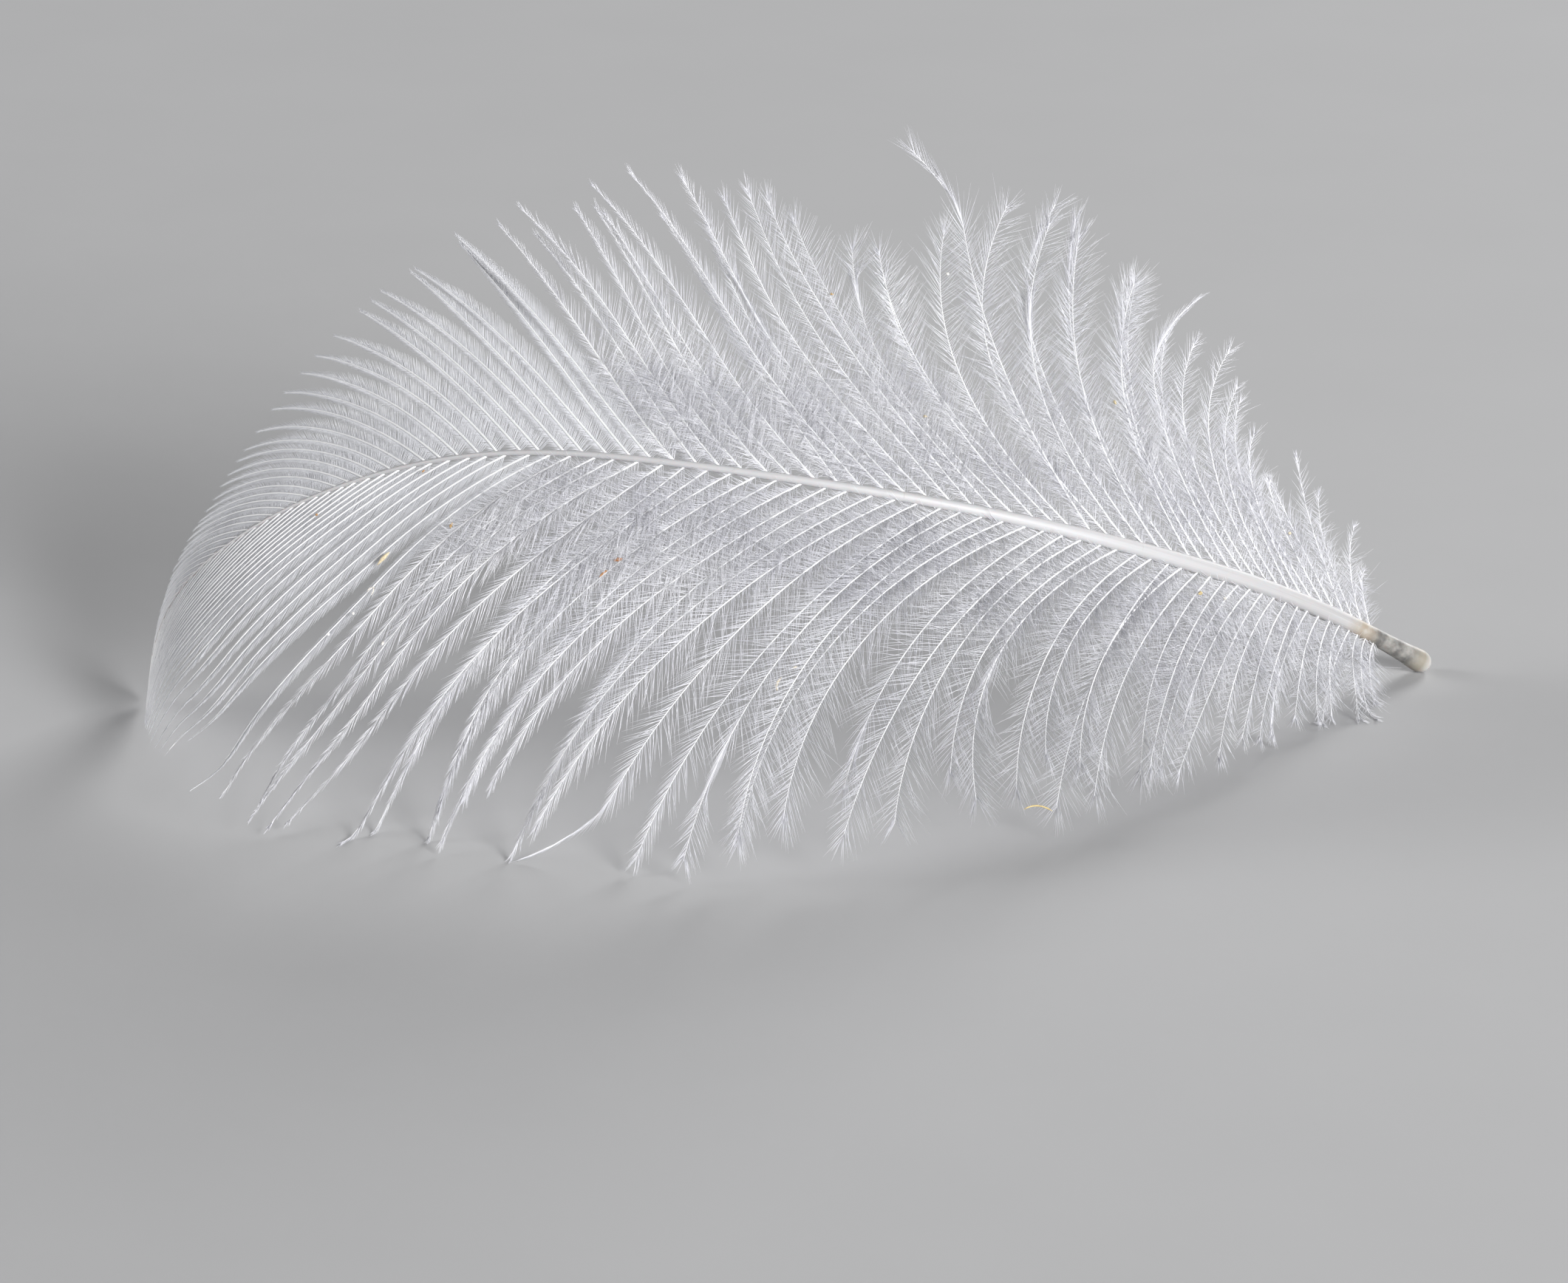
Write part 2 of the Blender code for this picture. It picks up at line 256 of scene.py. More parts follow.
def put_in_mesh(name, points, faces, uv, finish):
    """Object from points (mm, on the form's own axes), equal-sided faces and one uv a point."""
    points = (points.reshape(-1, 3) - FORM_CENTRE) * MM
    points[:, 2] = np.maximum(points[:, 2], LOWEST_POINT)
    faces = np.asarray(faces, np.int32)
    corners = faces.shape[1]
    mesh = bpy.data.meshes.new(name)
    mesh.vertices.add(len(points))
    mesh.vertices.foreach_set("co", points.astype(np.float32).ravel())
    mesh.loops.add(faces.size)
    mesh.loops.foreach_set("vertex_index", faces.ravel())
    mesh.polygons.add(len(faces))
    mesh.polygons.foreach_set("loop_start", np.arange(0, faces.size, corners, dtype=np.int32))
    mesh.polygons.foreach_set("use_smooth", np.full(len(faces), True))
    layer = mesh.uv_layers.new(name="run")
    layer.data.foreach_set("uv", uv.reshape(-1, 2)[faces.ravel()].astype(np.float32).ravel())
    mesh.update(calc_edges=True)
    mesh.validate()
    mesh.materials.append(finish.material)
    piece = bpy.data.objects.new(name, mesh)
    bpy.context.scene.collection.objects.link(piece)
    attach(piece, "root")
    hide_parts("feather")


def skin_tubes(centres, radii, across, sides):
    """Closed tapering tubes.  Each ring is centre + radius (cos turn * across + sin turn * over),
    with across square to the run and over square to both; the ends are closed with fans.
    centres is (tubes, rings, 3), radii (tubes, rings); returns points and triangles."""
    tubes, rings = radii.shape
    ahead = unit(np.gradient(centres, axis=1))
    over = unit(np.cross(ahead, across))
    across = np.cross(over, ahead)
    turn = 2.0 * np.pi * np.arange(sides) / sides
    ring = np.cos(turn)[:, None] * across[:, :, None, :] + np.sin(turn)[:, None] * over[:, :, None, :]
    points = centres[:, :, None, :] + radii[:, :, None, None] * ring
    r, j = np.meshgrid(np.arange(rings - 1), np.arange(sides), indexing="ij")
    a = (r * sides + j).ravel()
    b = (r * sides + (j + 1) % sides).ravel()
    wall = np.concatenate([np.stack([a, b, b + sides], 1), np.stack([a, b + sides, a + sides], 1)])
    k = np.arange(1, sides - 1)
    near = np.stack([np.zeros_like(k), k + 1, k], 1)
    far = np.stack([np.zeros_like(k), k, k + 1], 1) + (rings - 1) * sides
    one = np.concatenate([wall, near, far])
    faces = one[None] + (np.arange(tubes) * rings * sides)[:, None, None]
    return points.reshape(-1, 3), faces.reshape(-1, 3)


horn = Finish("shaft_horn", Roughness=0.38, IOR=1.54, Subsurface_Weight=0.12, Subsurface_Scale=0.0006)
run = horn.node("ShaderNodeUVMap", {"uv_map": "run"})
run_parts = horn.node("ShaderNodeSeparateXYZ", None, {"Vector": horn.out(run)})
along = horn.out(run_parts, "Y")
clouds = horn.noise(horn.place(), 900.0, 3.0, 0.6)
striae_place = horn.node("ShaderNodeMapping", None, {"Vector": horn.out(run), "Scale": (46.0, 9.0, 1.0)})
striae = horn.noise(horn.out(striae_place), 1.0, 4.0, 0.65)
nick_place = horn.node("ShaderNodeMapping", None, {"Vector": horn.out(run), "Scale": (2.0, 420.0, 1.0)})
nicks = horn.noise(horn.out(nick_place), 1.0, 2.0).ramp(0.66, 0.74)
pale = horn.blend(along.ramp(0.08, 0.30), (0.38, 0.372, 0.375, 1), (0.50, 0.498, 0.508, 1))
rachis = horn.blend(striae.ramp(0.30, 0.75) * 0.5, pale, (0.60, 0.597, 0.605, 1))
rachis = horn.blend(nicks * 0.35, rachis, (0.36, 0.345, 0.33, 1))
quill_colour = horn.blend(clouds.ramp(0.38, 0.66), (0.12, 0.117, 0.112, 1), (0.31, 0.30, 0.28, 1))
quill_colour = horn.blend(along.ramp(0.020, 0.010), quill_colour, (0.28, 0.255, 0.21, 1))
# The last millimetre of the quill end is painted paler: its light rim, with a painted highlight on the
# rounded end.
quill_colour = horn.blend(along.ramp(0.008, 0.003), quill_colour, (0.46, 0.45, 0.43, 1))
neck = horn.blend(clouds.ramp(0.45, 0.65), (0.34, 0.29, 0.23, 1), (0.42, 0.39, 0.35, 1))
stem = horn.blend(along.ramp(0.060, 0.076), neck, rachis)
stem = horn.blend(along.ramp(0.046, 0.056), quill_colour, stem)
horn.drive("Base Color", stem)
horn.drive("Roughness", 0.40 + 0.22 * striae)
horn.bump(striae + 0.8 * nicks, 0.25, 0.00004)

SHAFT_RINGS, SHAFT_SIDES = 260, 20
# The rings are closer over the rounded first millimetres of the quill
END_LENGTH, END_RINGS, SHAFT_LENGTH = 4.0, 29, 135.0
UV_LENGTH = 140.0
shaft_s = np.concatenate((np.linspace(0.0, END_LENGTH, END_RINGS + 1)[:-1],
                          np.linspace(END_LENGTH, SHAFT_LENGTH, SHAFT_RINGS - END_RINGS)))
shaft_radii = np.interp(shaft_s, SHAFT_RADIUS_AT, SHAFT_RADIUS)
shaft_sideways = np.broadcast_to(np.array((0.0, 1.0, 0.0)), (1, SHAFT_RINGS, 3))
shaft_points, shaft_faces = skin_tubes(
    shaft_point(shaft_s)[None], shaft_radii[None], shaft_sideways, SHAFT_SIDES)
shaft_round = np.arange(SHAFT_SIDES) / SHAFT_SIDES
shaft_uv = np.stack(np.meshgrid(shaft_s / UV_LENGTH, shaft_round, indexing="ij")[::-1], axis=-1)
put_in_mesh("shaft", shaft_points, shaft_faces, shaft_uv, horn)


# Barbs
# About eighty fine stiff branches on each side of the shaft, grown from it.  The rear vane rises,
# the front one falls to the table; near the tip they lie close, further back they stand apart.

# Slope of each vane where it leaves the shaft, along the shaft (degrees)
REAR_SLOPE_AT = (0.0, 40.0, 55.0, 70.0, 85.0, 100.0, 115.0, 125.0, 138.0)
REAR_SLOPE = (45.0, 45.0, 40.0, 35.0, 33.0, 32.0, 28.0, 20.0, 12.0)
FRONT_SLOPE_AT = (0.0, 10.0, 30.0, 45.0, 60.0, 70.0, 80.0, 90.0, 105.0, 118.0, 130.0)
FRONT_SLOPE = (-38.0, -40.0, -44.0, -45.0, -48.0, -51.0, -50.0, -44.0, -41.0, -28.0, -18.0)
# Spacing of the barbs along the shaft (mm)
SPACING_AT = (7.0, 12.0, 28.0, 50.0, 70.0, 92.0, 100.0, 108.0, 133.0)
SPACING = (0.95, 1.35, 1.72, 1.90, 1.95, 2.00, 1.70, 1.40, 1.15)
# Where the tips lie on the flattened feather: distance along the shaft, then out from it (mm).
# The sudden steps in the front row are the open gaps in that vane, the one at the quill end of
# the rear row is its torn tuft.
FRONT_ROOT = (
    6.5, 7.2, 8.5, 12, 16, 19, 21.8, 24, 27.7, 31, 35.5, 37, 39, 40.5, 43, 46.5, 52, 58.4, 62, 66.3,
    70, 73, 77.4, 77.5, 80, 82.6, 85, 89.0, 89.1, 92, 95, 99, 104, 112, 120, 128, 134)
FRONT_TIP_S = (
    5.8, 6.7, 8.7, 16, 24.3, 29.8, 34.1, 35.5, 39, 42, 46, 50.4, 53, 55.8, 60.6, 64.1, 70.1, 80.5, 84,
    90.1, 95, 99.5, 104.3, 111.0, 114, 117.3, 122.5, 127.6, 128.6, 130.9, 132.4, 133.8, 135.0, 136.2,
    136.6, 136.8, 136.9)
FRONT_TIP_W = (
    9.0, 12.0, 11.9, 12.4, 16.2, 18.6, 20, 21, 22.5, 25, 24.5, 26.1, 24.8, 29.7, 31.3, 30.8, 34.4, 33.4,
    35, 34.4, 34, 35, 36.4, 32.3, 32.5, 32.7, 31.8, 31.4, 26.5, 24.2, 21.2, 16.5, 12, 8.5, 5.6, 3.2, 1.6)
REAR_ROOT = (
    6.5, 7.6, 8.2, 9.4, 10.4, 12.0, 13.6, 15.4, 22, 29, 33, 38, 42, 45, 48, 52, 56, 64, 69.5, 71.5, 74.7,
    79, 83, 87.5, 91.4, 93.5, 98, 103, 110, 118, 126, 134)
REAR_TIP_S = (
    5.5, 6.6, 9.2, 15.2, 15.6, 18.7, 21.0, 23.0, 29, 34.5, 40, 44, 50, 54.5, 62, 73, 81, 88, 92.3, 94,
    97.3, 101.6, 105, 108, 109.7, 112.4, 115.3, 119, 123, 127.5, 131.5, 135)
REAR_TIP_W = (
    8.6, 9.8, 11.3, 15.6, 12.0, 11.6, 13.6, 20.3, 24.6, 26.6, 30.2, 31.0, 31, 29.5, 26.5, 26.6, 28.3, 28,
    27.3, 24.9, 25.1, 23.1, 21.2, 20, 18.7, 17.0, 14.3, 10.8, 7.2, 4.8, 2.8, 1.2)
# How far each barb's sweep is bent, ahead along the shaft and out from it (mm)
FRONT_BEND_ROOT = (7, 15, 20, 25, 30, 35, 40, 46, 52, 60, 66, 70, 77.4, 79, 90, 100, 112, 124, 134)
FRONT_BEND_AHEAD = (
    2.5, 4.5, 8, 9, 11.5, 14.2, 16, 16.5, 18.2, 18.5, 19.3, 17.5, 13, 19.5, 20, 20, 14, 8, 2.2)
FRONT_BEND_OUT = (
    4, 6, 7, 8, 9, 10, 10.5, 11.1, 11.9, 13, 13.8, 14.3, 14.2, 13.7, 10, 6.8, 4.6, 2.6, 0.9)
REAR_BEND_ROOT = (
    7, 15, 24, 28, 33, 38.7, 42.6, 46.1, 48, 50, 59.4, 61.4, 63.3, 66, 75, 79, 91, 93.5, 100, 112,
    124, 134)
REAR_BEND_AHEAD = (
    2, 9, 13, 12.5, 15.0, 17.2, 15.2, 12.2, 16, 11.5, 11.5, 7.5, 5.5, 10, 10.4, 11.8, 9.4, 8.2, 8,
    6.5, 4, 1.6)
REAR_BEND_OUT = (
    4, 8.5, 12.5, 13, 14, 14, 11.5, 11.5, 12.5, 11, 10.5, 8.5, 7.5, 9.5, 10.5, 10, 8.4, 8, 6.6,
    4.4, 2.4, 0.8)

chance = np.random.default_rng(7)


FIRST_ROOT, LAST_ROOT = 6.5, 134.0
ROOT_UNEVEN = 0.05


def spaced_roots(first):
    """Root places from the first one on, each a spacing past the last, with a little unevenness."""
    fine = np.linspace(FIRST_ROOT, LAST_ROOT, 4000)
    passed = np.cumsum(np.diff(fine) / np.interp(fine[1:], SPACING_AT, SPACING))
    count = np.concatenate(([0.0], passed))
    whole = np.arange(first, count[-1], 1.0)
    return np.interp(whole + chance.normal(0.0, ROOT_UNEVEN, len(whole)), count, fine)


front_roots, rear_roots = spaced_roots(0.0), spaced_roots(0.5)
barb_root = np.concatenate((front_roots, rear_roots))
barb_side = np.concatenate((-np.ones(len(front_roots)), np.ones(len(rear_roots))))
barb_count = len(barb_root)
is_rear = barb_side > 0
# 1 where the barbs are downy and loose, 0 where they lie in the web near the feather's tip
barb_loose = np.where(is_rear, np.interp(barb_root, (70, 84), (1.0, 0.0)),
                      np.interp(barb_root, (84, 91), (1.0, 0.0)))
tip_s = np.where(is_rear, np.interp(barb_root, REAR_ROOT, REAR_TIP_S),
                 np.interp(barb_root, FRONT_ROOT, FRONT_TIP_S))
tip_w = np.where(is_rear, np.interp(barb_root, REAR_ROOT, REAR_TIP_W),
                 np.interp(barb_root, FRONT_ROOT, FRONT_TIP_W))
bend_s = np.where(is_rear, np.interp(barb_root, REAR_BEND_ROOT, REAR_BEND_AHEAD),
                  np.interp(barb_root, FRONT_BEND_ROOT, FRONT_BEND_AHEAD))
bend_w = np.where(is_rear, np.interp(barb_root, REAR_BEND_ROOT, REAR_BEND_OUT),
                  np.interp(barb_root, FRONT_BEND_ROOT, FRONT_BEND_OUT))

# Neighbouring barbs lean together into locks.  Each row is one lock: the root of its first barb
# (its last is the one before the next row's), and its tip, along and out (mm)
FRONT_LOCKS = (
    (6.0, 5.8, 9.0), (7.0, 6.7, 12.2), (8.0, 9.4, 12.0), (9.2, 12.4, 12.4), (11.4, 15.0, 12.4),
    (12.8, 18.3, 12.8), (14.2, 21.0, 14.2), (15.6, 24.3, 16.2), (17.0, 27.0, 17.0), (18.6, 29.8, 18.6),
    (20.2, 34.1, 20.0), (23.0, 35.5, 21.0), (24.8, 37.5, 22.3), (28.0, 41.9, 25.2), (31.6, 44.6, 25.6),
    (35.0, 47.5, 25.2), (36.8, 50.4, 26.1), (38.6, 53.1, 24.8), (40.6, 55.8, 29.7), (42.4, 60.6, 31.3),
    (46.0, 64.1, 30.8), (48.0, 66.5, 33.8), (51.8, 70.2, 33.9), (53.6, 74.1, 33.9), (57.4, 81.0, 33.3),
    (59.4, 83.5, 35.2), (63.4, 86.4, 28.9), (65.2, 90.1, 34.4), (69.2, 93.4, 33.7), (73.0, 104.3, 35.3),
    (76.8, 111.9, 32.1), (79.0, 114.8, 32.5), (81.0, 117.3, 32.7), (84.8, 123.5, 32.3), (86.8, 129.4, 31.2),
    (88.8, 128.2, 23.4))
REAR_LOCKS = (
    (6.0, 6.0, 9.1), (7.5, 9.2, 11.3), (8.5, 12.3, 12.8), (9.7, 15.2, 15.3), (10.8, 18.7, 11.6),
    (13.4, 20.3, 15.2), (16.4, 22.0, 18.4), (19.4, 23.9, 21.2), (21.0, 27.6, 22.8), (25.7, 32.1, 25.9),
    (27.4, 33.7, 26.6), (30.8, 38.6, 32.4), (34.2, 41.4, 31.8), (37.9, 47.6, 31.4), (41.6, 54.3, 28.9),
    (43.4, 62.1, 25.3), (47.1, 64.6, 26.6), (49.0, 73.3, 26.6), (50.9, 75.3, 27.3), (52.8, 78.8, 28.3),
    (54.7, 80.1, 26.9), (56.6, 84.8, 28.6), (60.4, 88.0, 28.0), (64.2, 92.2, 27.2), (70.1, 94.0, 24.9),
    (72.2, 97.2, 25.1), (76.0, 98.5, 24.0), (77.9, 101.6, 23.1), (81.8, 105.0, 21.2), (85.8, 108.0, 20.0),
    (90.0, 109.7, 18.7))


def drawn_to_locks(chosen, locks, pull):
    """Each chosen barb's tip goes a share of the way to the tip of its lock.  Gives 1 for barbs
    that share their lock with the barb before them, and 0 for the others."""
    lock = np.array(locks)
    row = np.searchsorted(lock[:, 0], barb_root[chosen], side="right") - 1
    tip_s[chosen] += pull[chosen] * (lock[row, 1] - tip_s[chosen])
    tip_w[chosen] += pull[chosen] * (lock[row, 2] - tip_w[chosen])
    return np.concatenate(([0.0], (np.diff(row) == 0) * 1.0))


LOCK_PULL = 0.94
companion = np.concatenate((
    drawn_to_locks(~is_rear, FRONT_LOCKS, np.interp(barb_root, (90.5, 91.5), (LOCK_PULL, 0.0))),
    drawn_to_locks(is_rear, REAR_LOCKS, np.interp(barb_root, (84, 90), (LOCK_PULL, 0.0)))))
TIP_UNEVEN = 0.5
tip_s = tip_s + chance.normal(0.0, TIP_UNEVEN, barb_count) * (0.15 + 0.85 * barb_loose)
tip_w = tip_w + chance.normal(0.0, TIP_UNEVEN, barb_count) * (0.15 + 0.85 * barb_loose)
bend_s = bend_s * (1.0 + chance.normal(0.0, 0.07, barb_count) * barb_loose)
barb_lift = chance.normal(0.0, 0.9, barb_count) * barb_loose
barb_wave = chance.normal(0.0, 0.28, (2, barb_count)) * (0.10 + 0.90 * barb_loose)
barb_phase = chance.uniform(0.0, 2.0 * np.pi, (2, barb_count))
# Near the quill a barb's stem stops short of its lock's tip, which its last barbules reach (mm)
STEM_SHORT = 1.5
short_of_tip = STEM_SHORT * barb_loose * np.interp(barb_root, (45, 60), (1.0, 0.0))
hook_s = np.zeros(barb_count)
hook_w = np.zeros(barb_count)
hook_from = np.full(barb_count, 0.62)
# Stretches of a barb where its barbules lie shut like a wet brush: middle and half length
brush_at = np.full(barb_count, -1.0)
brush_half = np.full(barb_count, 0.1)


def nearest_barb(side, root):
    """Number of the barb on that side whose root is nearest to the given place."""
    return int(np.argmin(np.abs(barb_root - root) + 1000.0 * (barb_side != side)))


# The rear barb that crosses its neighbours and stands clear above them
stray = nearest_barb(1, 40.0)
tip_s[stray], tip_w[stray], bend_s[stray], bend_w[stray] = 53.4, 34.4, 12.6, 15.0
hook_s[stray], hook_w[stray], hook_from[stray] = 7.5, 1.4, 0.80
barb_lift[stray] = 0.4
brush_at[stray], brush_half[stray] = 0.88, 0.07
# The front barb whose end curls along the table
curl = nearest_barb(-1, 56.5)
tip_s[curl], tip_w[curl], bend_s[curl], bend_w[curl] = 78.0, 35.8, 17.2, 12.0
hook_s[curl], hook_w[curl], hook_from[curl] = 6.6, 0.6, 0.84
brush_at[curl], brush_half[curl] = 0.95, 0.11
# The rear barb near the quill whose end is bent back and shut into a bright spike
spike = nearest_barb(1, 24.5)
tip_s[spike], tip_w[spike], bend_s[spike], bend_w[spike] = 30.9, 24.0, 10.5, 12.0
hook_s[spike], hook_w[spike], hook_from[spike] = -6.8, 2.2, 0.66
brush_at[spike], brush_half[spike] = 0.90, 0.17
# The rear barb that ends in a forked twig
twig = nearest_barb(1, 35.0)
tip_s[twig], tip_w[twig], bend_s[twig], bend_w[twig] = 45.4, 31.4, 14.5, 13.0
hook_s[twig], hook_w[twig], hook_from[twig] = -4.6, 1.0, 0.62
brush_at[twig], brush_half[twig] = 0.86, 0.07
for brush_side, brush_root, middle, half in (
        (1, 31.0, 0.88, 0.12), (1, 37.0, 0.66, 0.10), (1, 58.0, 0.62, 0.10), (1, 47.5, 0.78, 0.08),
        (-1, 52.8, 0.77, 0.08), (-1, 38.5, 0.55, 0.08), (-1, 22.0, 0.80, 0.10), (-1, 45.2, 0.84, 0.07),
        (-1, 15.5, 0.84, 0.12)):
    chosen = nearest_barb(brush_side, brush_root)
    brush_at[chosen], brush_half[chosen] = middle, half

stem_share = 1.0 - short_of_tip / np.hypot(tip_s - barb_root, tip_w)
# The second and third barbs of a lock are worn shorter than its first
stem_share = stem_share * (1.0 - companion * barb_loose * chance.uniform(0.02, 0.14, barb_count))
stem_share[[stray, curl, spike, twig]] = 0.97


def smoothed(at, values):
    """The stations' straight runs, averaged over 10 mm so that no crease shows."""
    fine = np.arange(-10.0, 160.0, 0.5)
    raw = np.interp(fine, at, values)
    kernel = np.hanning(21)
    padded = np.concatenate((np.full(10, raw[0]), raw, np.full(10, raw[-1])))
    return fine, np.convolve(padded, kernel / kernel.sum(), mode="valid")


REAR_RISE, FRONT_FALL = smoothed(REAR_SLOPE_AT, REAR_SLOPE), smoothed(FRONT_SLOPE_AT, FRONT_SLOPE)


def vane_frame(s, side):
    """Unit direction in which the vane leaves the shaft at s, and the vane's upward normal."""
    slope = np.radians(np.where(side > 0, np.interp(s, *REAR_RISE), np.interp(s, *FRONT_FALL)))
    out = np.stack([np.zeros_like(slope), side * np.cos(slope), np.sin(slope)], axis=-1)
    heading = shaft_heading(s)
    out = unit(out - (out * heading).sum(-1, keepdims=True) * heading)
    return out, side[..., None] * np.cross(out, heading)


# How softly low barbs bend out along the table, and the heights between which they do (mm)
TABLE_EASE = 0.6
EASED_BELOW, RESTS_AT = 0.55, 0.52


def on_form(s, w, lift, side):
    """Place of a point of the flattened feather on the arched form.  Its height above the table
    goes over smoothly to that of a barb at rest: half of the height plus the root of its square
    and the square of the ease."""
    out, up = vane_frame(s, side)
    point = shaft_point(s) + w[..., None] * out + lift[..., None] * up
    low = point[..., 2] - EASED_BELOW
    point[..., 2] = 0.5 * (low + np.sqrt(low * low + TABLE_EASE * TABLE_EASE)) + RESTS_AT
    return point, up


# A barb's root lies inside the shaft, at this share of its radius
ROOT_DEPTH = 0.55


def barb_point(k, part):
    """Centre of barb k at a part of its length: on the flattened feather a quadratic sweep from
    the root by way of its bend to the tip, plus a hook and a small wave that grow outwards, then
    carried onto the arched form and lifted off the vane."""
    v = np.maximum(part, 0.0) * stem_share[k]
    radius = np.interp(barb_root[k], SHAFT_RADIUS_AT, SHAFT_RADIUS) * ROOT_DEPTH
    rest = 1.0 - v
    hook = np.clip((v - hook_from[k]) / (1.0 - hook_from[k]), 0.0, 1.0) ** 2
    wave = v * (1.0 - 0.3 * v)
    s = barb_root[k] + 2.0 * v * rest * bend_s[k] + v * v * (tip_s[k] - barb_root[k])
    s = s + hook * hook_s[k] + barb_wave[0][k] * wave * np.sin(5.0 * v + barb_phase[0][k])
    w = rest * rest * radius + 2.0 * v * rest * (radius + bend_w[k]) + v * v * tip_w[k]
    w = w + hook * hook_w[k]
    lift = barb_lift[k] * v ** 1.6 + barb_wave[1][k] * wave * np.sin(4.0 * v + barb_phase[1][k])
    return on_form(s, w, lift, barb_side[k])


def plan_uv(points):
    """One uv for each point from its place seen from above."""
    return np.stack([(points[..., 0] + 56.0) / 112.0, (points[..., 1] + 56.0) / 56.0], axis=-1)


def keratin(name, bright, shade, shine):
    """White horn fibre: its whiteness drifts in patches of some millimetres and in fine flecks."""
    made = Finish(name, Roughness=0.5, IOR=1.5)
    patches = made.noise(made.place(), 180.0, 2.0)
    flecks = made.noise(made.place(), 1800.0, 2.0)
    made.drive("Base Color", made.blend((patches * 0.6 + flecks * 0.4).ramp(0.32, 0.68), shade, bright))
    made.drive("Roughness", shine + 0.18 * flecks)
    return made


barb_finish = keratin("barb_keratin", (0.93, 0.93, 0.93, 1), (0.84, 0.84, 0.85, 1), 0.34)
BARB_RINGS, BARB_SIDES = 34, 5
k_grid, v_grid = np.meshgrid(np.arange(barb_count), np.linspace(0.0, 1.0, BARB_RINGS), indexing="ij")
barb_centres, barb_up = barb_point(k_grid, v_grid)
barb_length = np.linalg.norm(np.diff(barb_centres, axis=1), axis=2).sum(axis=1)
BARB_RADIUS_AT = (6.5, 12, 30, 80, 95, 115, 134)
BARB_RADIUS = (0.070, 0.090, 0.100, 0.095, 0.10, 0.085, 0.055)
base_radius = np.interp(barb_root, BARB_RADIUS_AT, BARB_RADIUS)
# A barb thins evenly in the web and a little faster in the down, to this share at its end
taper = (0.9 + 0.3 * barb_loose)[:, None]
barb_end = (0.42 - 0.18 * barb_loose)[:, None]
barb_radii = base_radius[:, None] * (barb_end + (1.0 - barb_end) * (1.0 - v_grid) ** taper)
for rows, name in ((~is_rear, "barbs_front"), (is_rear, "barbs_rear")):
    points, faces = skin_tubes(barb_centres[rows], barb_radii[rows], barb_up[rows], BARB_SIDES)
    put_in_mesh(name, points, faces, plan_uv(points), barb_finish)


# Barbules of the down
# Hair-fine loose threads grown along both edges of the downy barbs, three or four millimetres
# long and four or five to a millimetre.  They lean alike in tufts and cross their neighbours'.

def rows_of(barbs, pitch, crowd):
    """Barb number, part of its length and edge (+1 towards the feather's tip, -1 towards the
    quill) for barbules a pitch apart on both edges, closer near the shaft as crowd goes over 1."""
    per_row = np.maximum((barb_length[barbs] / pitch).astype(int), 8)
    barb = np.repeat(barbs, per_row)
    step = np.concatenate([np.arange(n) for n in per_row])
    part = ((step + 0.5) / np.repeat(per_row, per_row)) ** crowd
    barb, part = np.concatenate((barb, barb)), np.concatenate((part, part))
    part = part + chance.normal(0.0, 0.25, len(part)) * pitch / barb_length[barb]
    return barb, np.clip(part, 0.0, 1.0), np.repeat((1.0, -1.0), len(step))


row_phase = chance.uniform(0.0, 2.0 * np.pi, (4, 2 * barb_count))
# Three numbers that scatter the tufts' shares between 0 and 1 without a pattern
SCATTER = (12.9898, 78.233, 437.585)


def drift(barb, part, edge, first):
    """A slow wave along each row, of two sines, by which neighbouring barbules lean alike."""
    row = barb * 2 + (edge > 0)
    return (np.sin(11.0 * part + row_phase[first][row])
            + 0.6 * np.sin(27.0 * part + row_phase[first + 1][row]))


def tufted(angle, length, barb, part, edge, tuft, most):
    """Angles after barbules have leant together in tufts: each tip moves along the barb towards
    the middle of its tuft (mm long), by a share up to most that differs from tuft to tuft."""
    row = barb * 2 + (edge > 0)
    at = part * barb_length[barb] / tuft + row_phase[2][row]
    at = at + 0.3 * np.sin(3.0 * part + row_phase[0][row])
    group = np.floor(at)
    share = np.modf(np.abs(np.sin(group * SCATTER[0] + row * SCATTER[1])) * SCATTER[2])[0] * most
    shift = (group + 0.5 - at) * tuft * share
    flat = np.radians(angle)
    return np.degrees(np.arctan2(length * np.sin(flat), length * np.cos(flat) + shift))


def shut_brushes(angle, barb, part):
    """Angles with those in a barb's shut stretch brought close to its stem."""
    return angle * (1.0 - 0.85 * np.exp(-(((part - brush_at[barb]) / brush_half[barb]) ** 4)))


THREAD_RESTS_AT = 0.56


def put_barbules(names, finish, barb, part, edge, angle, tilt, length, radius, rings):
    """Needles of three sides: each starts on its barb, at an angle from the barb's own way
    towards its edge of the vane, is raised off the vane by tilt, bends a little forwards, and
    tapers to a point.  names holds (piece name, which barbules)."""
    base, up = barb_point(barb, part)
    ahead = unit(barb_point(barb, part + 0.01)[0] - barb_point(barb, part - 0.01)[0])
    edgeways = unit(np.cross(up, ahead)) * (-barb_side[barb] * edge)[:, None]
    up = unit(np.cross(ahead, np.cross(up, ahead)))
    share = np.linspace(0.0, 1.0, rings)
    centres = [base]
    for step in range(1, rings):
        turn = np.radians(angle * (1.04 - 0.08 * share[step]))[:, None]
        rise = np.radians(tilt * (0.95 + 0.15 * share[step]))[:, None]
        way = np.cos(rise) * (np.cos(turn) * ahead + np.sin(turn) * edgeways) + np.sin(rise) * up
        centres.append(centres[-1] + unit(way) * (length / (rings - 1))[:, None])
    centres = np.stack(centres, axis=1)
    centres[..., 2] = np.maximum(centres[..., 2], THREAD_RESTS_AT)
    radii = radius * np.ones((len(barb), 1)) * (1.0 - 0.78 * share ** 1.5)
    across = np.broadcast_to(up[:, None, :], centres.shape)
    for name, chosen in names:
        points, faces = skin_tubes(centres[chosen], radii[chosen], across[chosen], 3)
        put_in_mesh(name, points, faces, plan_uv(points), finish)


# The down's two tones are painted darker and greyer than the barbs' white, as painted shade among the
# fibres; the drift between them is the fibre's own.
down_finish = keratin("down_keratin_painted_shade", (0.84, 0.84, 0.87, 1), (0.66, 0.66, 0.71, 1), 0.42)
